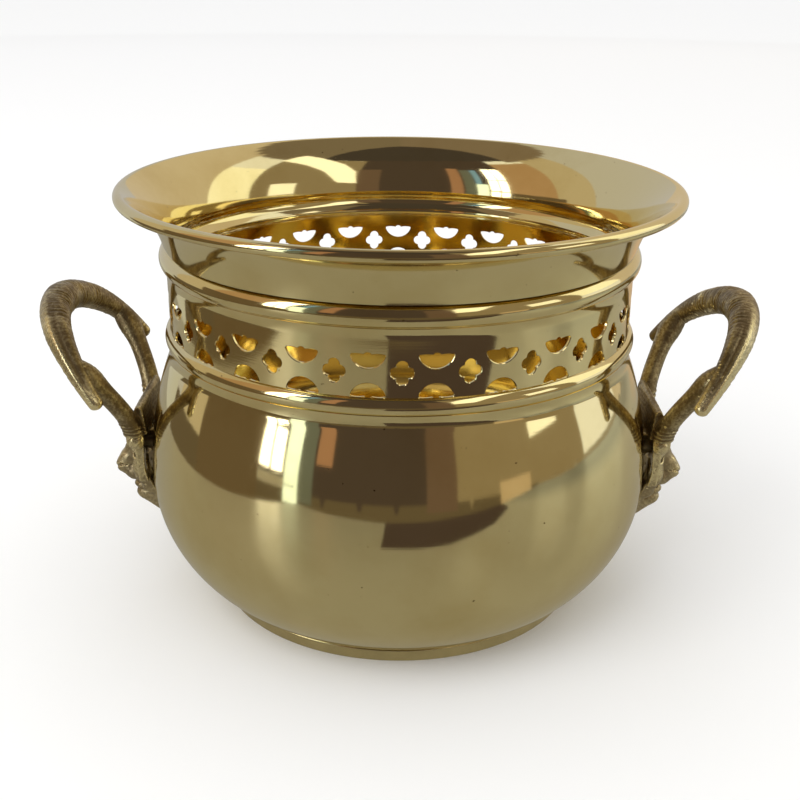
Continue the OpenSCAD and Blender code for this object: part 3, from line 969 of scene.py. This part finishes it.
def engraved(head, p, a, b, width, depth):
    """A furrow of even depth along a straight line seen from the front of the face."""
    along = np.clip(((p[1] - a[0]) * (b[0] - a[0]) + (p[2] - a[1]) * (b[1] - a[1]))
                    / ((b[0] - a[0]) ** 2 + (b[1] - a[1]) ** 2), 0, 1)
    off = np.hypot(p[1] - a[0] - along * (b[0] - a[0]), p[2] - a[1] - along * (b[1] - a[1]))
    line = np.maximum(off - width, -(head + depth))
    return smooth_cut(head, np.maximum(line, FACE_FRONT_X - p[0]), 0.5)


def rounded_box(p, half, round_r):
    """Distance to a box about the origin, half sizes without the rounding of its edges."""
    d = [np.abs(p[i]) - half[i] for i in range(3)]
    out = np.sqrt(sum(np.maximum(v, 0) ** 2 for v in d))
    return out + np.minimum(np.maximum(np.maximum(d[0], d[1]), d[2]), 0) - round_r


def leaned(p, centre, degrees):
    """Coordinates about a centre, turned in the plane of the profile."""
    c, s = math.cos(math.radians(degrees)), math.sin(math.radians(degrees))
    x, z = p[0] - centre[0], p[2] - centre[2]
    return [c * x + s * z, p[1] - centre[1], c * z - s * x]


def turned(p, centre, degrees):
    """Coordinates about a centre, turned in the plane across the face."""
    c, s = math.cos(math.radians(degrees)), math.sin(math.radians(degrees))
    y, z = p[1] - centre[1], p[2] - centre[2]
    return [p[0] - centre[0], c * y - s * z, s * y + c * z]


def mask_field(p):
    """The hollow-backed mask: a wall inside the outside, open to the pot, with two bosses."""
    x, y, z = p
    outside = mask_outside(p)
    radius = np.sqrt(x * x + y * y)
    wall = wall_at(z).astype(np.float32)
    clear = 4.0 * np.clip((z - 28) / 30, 0.001, 1) ** 0.7
    shell = np.maximum(outside, -(outside + MASK_WALL))
    shell = np.maximum(shell, wall + clear - radius)
    hollow = np.maximum(outside + MASK_REAR_WALL, radius - wall - MASK_REAR_DEPTH)
    shell = np.maximum(shell, -hollow)
    for screw_z in SCREW_ZS:
        boss = np.sqrt(y * y + (z - screw_z) ** 2) - (SCREW_D / 2 + 2)
        boss = np.maximum(boss, outside + 0.5)
        shell = np.minimum(shell, np.maximum(boss, -outside - 14))
    shell = np.maximum(shell, wall + GAP - radius)
    return np.maximum(shell, z - CROWN_Z)


def build_mask(material, node_name, mesh):
    """The animal's head, polished on its nose tip, with painted light brightening its flanks, and with
    less brightening on its chin.
    """
    verts, faces = mirrored(*mesh) if node_name.startswith("left") else mesh
    piece = new_mesh(node_name.replace("mask", "animal_mask"), verts * MM, faces, material, 60)
    across, z = np.abs(verts[:, 1]), verts[:, 2]
    # painted light: the sides of the face above the mouth are brightened as if light fell on them
    painted_lit_flank = np.clip((across - 7) / 5, 0, 1) * np.clip((z - 46) / 8, 0, 1)
    chin = np.clip((45 - z) / 5, 0, 1)
    mark_polish_and_painted_light(piece, (np.abs(verts[:, 0]) - 124.5) / 16 * (1 - painted_lit_flank) + 0.55 * painted_lit_flank - 0.3 * chin)
    return stand_for(piece, node_name)


# ---- fixings

def keep_fixings(material):
    """The screws and washers keep their CAD shape and take a better finish."""
    for name in ("screws", "washers"):
        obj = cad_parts[name]
        for slot_at in obj.material_slots:
            slot_at.material = material


# ---- camera, floor and light

LENS, SENSOR = 52.14, 36.0
CAMERA_PLACE = (0.0012, -0.4928, 0.2815)
CAMERA_TURN = (21.775, -0.077, -0.549)
WORLD_LIGHT, KEY_LIGHT = 0.96, 18
FAR, NEAR, CARD_STEPS = 3.3, 3.0, 12


def make_camera():
    """The photo's camera: its pitch, yaw and roll are in degrees."""
    data = bpy.data.cameras.new("camera")
    data.lens, data.sensor_width = LENS, SENSOR
    data.clip_start, data.clip_end = 0.01, 50
    cam = placed("camera", data)
    pitch, yaw, roll = (math.radians(a) for a in CAMERA_TURN)
    forward = Vector((math.sin(yaw) * math.cos(pitch), math.cos(yaw) * math.cos(pitch), -math.sin(pitch)))
    right = Vector((math.cos(yaw), -math.sin(yaw), 0))
    down = forward.cross(right)
    right, down = (math.cos(roll) * right + math.sin(roll) * down,
                   math.cos(roll) * down - math.sin(roll) * right)
    cam.matrix_world = Matrix.Translation(CAMERA_PLACE) @ Matrix(
        (right, -down, -forward)).transposed().to_4x4()
    bpy.context.scene.camera = cam
    bpy.context.scene.view_settings.view_transform = "Standard"


def stage_plane(name, width, depth, place, facing, colour):
    """A flat board, face towards the facing point, that belongs to the studio."""
    mesh = bpy.data.meshes.new(name)
    w, d = width / 2, depth / 2
    mesh.from_pydata([(-w, -d, 0), (w, -d, 0), (w, d, 0), (-w, d, 0)], [], [(0, 1, 2, 3)])
    board = placed(name, mesh)
    aim = Vector(facing) - Vector(place)
    board.rotation_euler = aim.to_track_quat("Z", "Y").to_euler()
    board.location = place
    material = bpy.data.materials.new(name)
    material.use_nodes = True
    shader = shader_of(material)
    shader.inputs["Base Color"].default_value = (*colour, 1)
    shader.inputs["Roughness"].default_value = 0.9
    mesh.materials.append(material)
    return board


def make_floor():
    """A pale floor for the camera, and the darker table top that the brass reflects, with a painted pool
    of sunlight on it.
    """
    floor = stage_plane("floor", 60, 60, (0, 0, 0), (0, 0, 1), (0.975, 0.975, 0.972))
    floor.visible_glossy = False
    centre = (0.24, 0.13)
    table = stage_plane("table_tone", 1.32, 1.3, (*centre, -0.0006), (*centre, 1), (0.3, 0.3, 0.3))
    tree, shader = table.data.materials[0].node_tree, shader_of(table.data.materials[0])
    place = node(tree, "ShaderNodeTexCoord").outputs["Object"]
    split = node(tree, "ShaderNodeSeparateXYZ")
    tree.links.new(place, split.inputs[0])
    across = plus(tree, split.outputs[0], 0.5)
    tone = ramp(tree, across, [(0.10, (0.22, 0.245, 0.25)), (0.30, (0.43, 0.42, 0.37)),
                               (0.60, (0.345, 0.32, 0.26))])
    # painted pool of warm sunlight on the table top, in front of the pot and to its right
    reach = node(tree, "ShaderNodeVectorMath", operation="DISTANCE")
    tree.links.new(place, reach.inputs[0])
    reach.inputs[1].default_value = (0.19 - centre[0], -0.17 - centre[1], 0)
    painted_sun_pool = ramp(tree, reach.outputs["Value"], [(0.04, (1, 1, 1)), (0.17, (0, 0, 0))])
    tree.links.new(mix_colour(tree, painted_sun_pool, tone, (0.66, 0.46, 0.27)), shader.inputs["Base Color"])
    shader.inputs["Roughness"].default_value = 0.32
    only_in_reflections(table)


def glow_material(name, colour, strength):
    """A material that only shines."""
    material = bpy.data.materials.new(name)
    material.use_nodes = True
    tree = material.node_tree
    tree.nodes.clear()
    glow = node(tree, "ShaderNodeEmission")
    glow.inputs[0].default_value = (*colour, 1)
    glow.inputs[1].default_value = strength
    tree.links.new(glow.outputs[0], node(tree, "ShaderNodeOutputMaterial").inputs[0])
    return material


def only_in_reflections(board):
    """Hides a board from all but the brass."""
    board.visible_camera = board.visible_diffuse = board.visible_shadow = False
    board.visible_transmission = False


def direction(azimuth, elevation, distance):
    """A point that far from the middle of the pot."""
    az, el = math.radians(azimuth), math.radians(elevation)
    return (distance * math.cos(el) * math.sin(az), -distance * math.cos(el) * math.cos(az),
            0.1 + distance * math.sin(el))


def board_of(name, verts, faces, colour, strength):
    """A shining board that only reflections see."""
    mesh = bpy.data.meshes.new(name)
    mesh.from_pydata(verts, [], faces)
    mesh.materials.append(glow_material(name, colour, strength))
    only_in_reflections(placed(name, mesh))


def studio_card(name, azimuth, elevation, colour, strength=1.0, distance=NEAR):
    """A curved card round the pot that only reflections see.

    Azimuth and elevation are (from, to) in degrees, with azimuth 0 at the front, + to the right.
    """
    verts = [direction(az, el, distance) for el in np.linspace(*elevation, CARD_STEPS + 1)
             for az in np.linspace(*azimuth, CARD_STEPS + 1)]
    row = CARD_STEPS + 1
    faces = [(k, k + 1, k + row + 1, k + row) for i in range(CARD_STEPS)
             for k in range(i * row, i * row + CARD_STEPS)]
    board_of(name, verts, faces, colour, strength)


def slanted_card(name, corners, colour, strength, distance):
    """A flat card whose corners are given as (azimuth, elevation)."""
    verts = [direction(az, el, distance) for az, el in corners]
    board_of(name, verts, [tuple(range(len(corners)))], colour, strength)


def table_board(name, corners, colour):
    """A dull board lying on the table in front of the pot."""
    verts = [(x, y, 0.0005) for x, y in corners]
    board_of(name, verts, [tuple(range(len(corners)))], colour, 1.0)


def area_light(name, place, aim, size, energy):
    """A soft lamp that the brass doesn't reflect."""
    data = bpy.data.lights.new(name, "AREA")
    data.shape = "RECTANGLE"
    data.size, data.size_y = size
    data.energy = energy
    lamp = placed(name, data)
    lamp.location = place
    lamp.rotation_euler = (Vector(aim) - Vector(place)).to_track_quat("-Z", "Y").to_euler()
    lamp.visible_glossy = lamp.visible_camera = False


def make_world(strength):
    """Even white light from all round."""
    world = bpy.data.worlds.new("studio")
    world.use_nodes = True
    world.node_tree.nodes["Background"].inputs[0].default_value = (1, 1, 1, 1)
    world.node_tree.nodes["Background"].inputs[1].default_value = strength
    bpy.context.scene.world = world


def light_studio():
    """Soft light from above for the floor, and the room of cards that the brass reflects."""
    # light has to bounce often enough between polished walls to leave the inside of the pot
    bpy.context.scene.cycles.glossy_bounces = 10
    make_world(WORLD_LIGHT)
    area_light("key", (-1.2, -1.2, 1.8), (0, 0, 0.1), (1.6, 1.6), KEY_LIGHT)
    build_room()
    table_board("table_shade", ((-0.03, -0.30), (0.10, -0.295), (0.24, -0.33), (0.40, -0.42),
                                (0.46, -0.52), (-0.04, -0.52)), (0.07, 0.05, 0.045))


FAR_CARDS = (
    ("wall_back_left", (-180, -120), (-6, 60), (0.52, 0.51, 0.53)),
    ("wall_left", (-120, -92), (-6, 60), (0.52, 0.44, 0.32)),
    ("wall_left_warm", (-92, -62), (-6, 56), (0.45, 0.29, 0.17)),
    ("door", (-62, 24), (-8, 62), (0.075, 0.055, 0.047)),
    ("wall_right_tan", (24, 88), (-8, 60), (0.29, 0.23, 0.15)),
    ("wall_right", (118, 180), (-6, 60), (0.62, 0.53, 0.42)),
    ("ceiling_front", (-80, 60), (60, 90), (0.062, 0.050, 0.045)),
    ("ceiling_left", (-180, -80), (58, 90), (0.22, 0.17, 0.13)),
    ("ceiling_right", (60, 180), (58, 90), (0.20, 0.16, 0.12)),
    ("floor_front", (-125, 62), (-60, -5), (0.13, 0.10, 0.065)),
    ("floor_right", (62, 130), (-60, -5), (0.34, 0.30, 0.24)),
    ("floor_back", (130, 235), (-60, -5), (0.55, 0.55, 0.52)))
NEAR_CARDS = (
    ("shelf_left", (-98, -62), (-18, 13), (0.14, 0.10, 0.06)),
    ("panel_grey", (-42, -36), (-8, 46), (0.15, 0.165, 0.15)),
    ("panel_peach", (-35, -28), (6, 48), (0.40, 0.22, 0.14)),
    ("panel_brown", (12, 25), (-8, 45), (0.15, 0.10, 0.075)),
    ("window_left_edge", (-46, -42.5), (24, 46), (0.22, 0.42, 0.70)),
    ("window_left_sill", (-66, -44), (-5, -1.5), (0.40, 0.36, 0.30)),
    ("window_right_low", (44, 58), (-9, -1), (0.55, 0.42, 0.28)))
WINDOW_BARS = (
    ("window_left_post", (-56.6, -55.7), (0, 48), (0.07, 0.055, 0.045)),
    ("window_left_bar", (-61.5, -50.5), (13.4, 14.8), (0.10, 0.08, 0.06)),
    ("window_left_top", (-61.5, -50.5), (31, 32.2), (0.10, 0.08, 0.06)))
WINDOWS = (
    ("window_left_wide", (-61.5, -50.5), (0, 48), (1, 1, 1), 4.0),
    ("window_left_narrow", (-49.3, -42.5), (-9, 24), (0.85, 1.0, 1.0), 1.6),
    ("window_right", (60, 76), (9, 25), (1, 0.97, 0.88), 1.3))


def build_room():
    """Walls, door, panels and windows, each as a card that stands for it in the reflections."""
    for cards, distance in ((FAR_CARDS, FAR), (NEAR_CARDS, NEAR), (WINDOW_BARS, 2.9), (WINDOWS, NEAR)):
        for card in cards:
            studio_card(*card, distance=distance)
    studio_card("wall_sunlit", (88, 118), (8, 46), (1.0, 0.98, 0.82), 1.2, distance=FAR)
    slanted_card("roof_window", ((25, 22), (36, 24), (47, 42), (66, 53), (90, 57), (84, 65),
                                 (58, 62), (38, 54), (27, 42)), (1.0, 0.96, 0.86), 1.5, 2.8)



# ---- the pot

def build_pot():
    """Every piece of the pot, with its material."""
    brass = spun_brass("spun_brass", (0.86, 0.745, 0.405))
    cast = cast_brass("cast_brass", (0.15, 0.112, 0.058), (0.33, 0.245, 0.125))
    mask_cast = cast_brass("mask_brass", (0.25, 0.20, 0.115), (0.52, 0.415, 0.24))
    build_bowl(brass)
    build_collar(brass)
    build_foot(plain_brass("foot_brass", (0.74, 0.62, 0.32), 0.16))
    build_rim_wire(plain_brass("wire_brass", (0.62, 0.50, 0.24), 0.22))
    fork = cast_mesh(fork_field, (106, -50, CROWN_Z - 1.35), (142, 50, 124), 0.45)
    mask = cast_mesh(mask_field, (101, -27, 20), (134, 27, CROWN_Z + 1), 0.36)
    for side in ("left", "right"):
        build_horns(cast, side + "_horns")
        build_fork(cast, side + "_fork", fork)
        build_mask(mask_cast, side + "_mask", mask)
    keep_fixings(plain_brass("screw_brass", (0.66, 0.54, 0.27), 0.24))


make_camera()
make_floor()
light_studio()
build_pot()
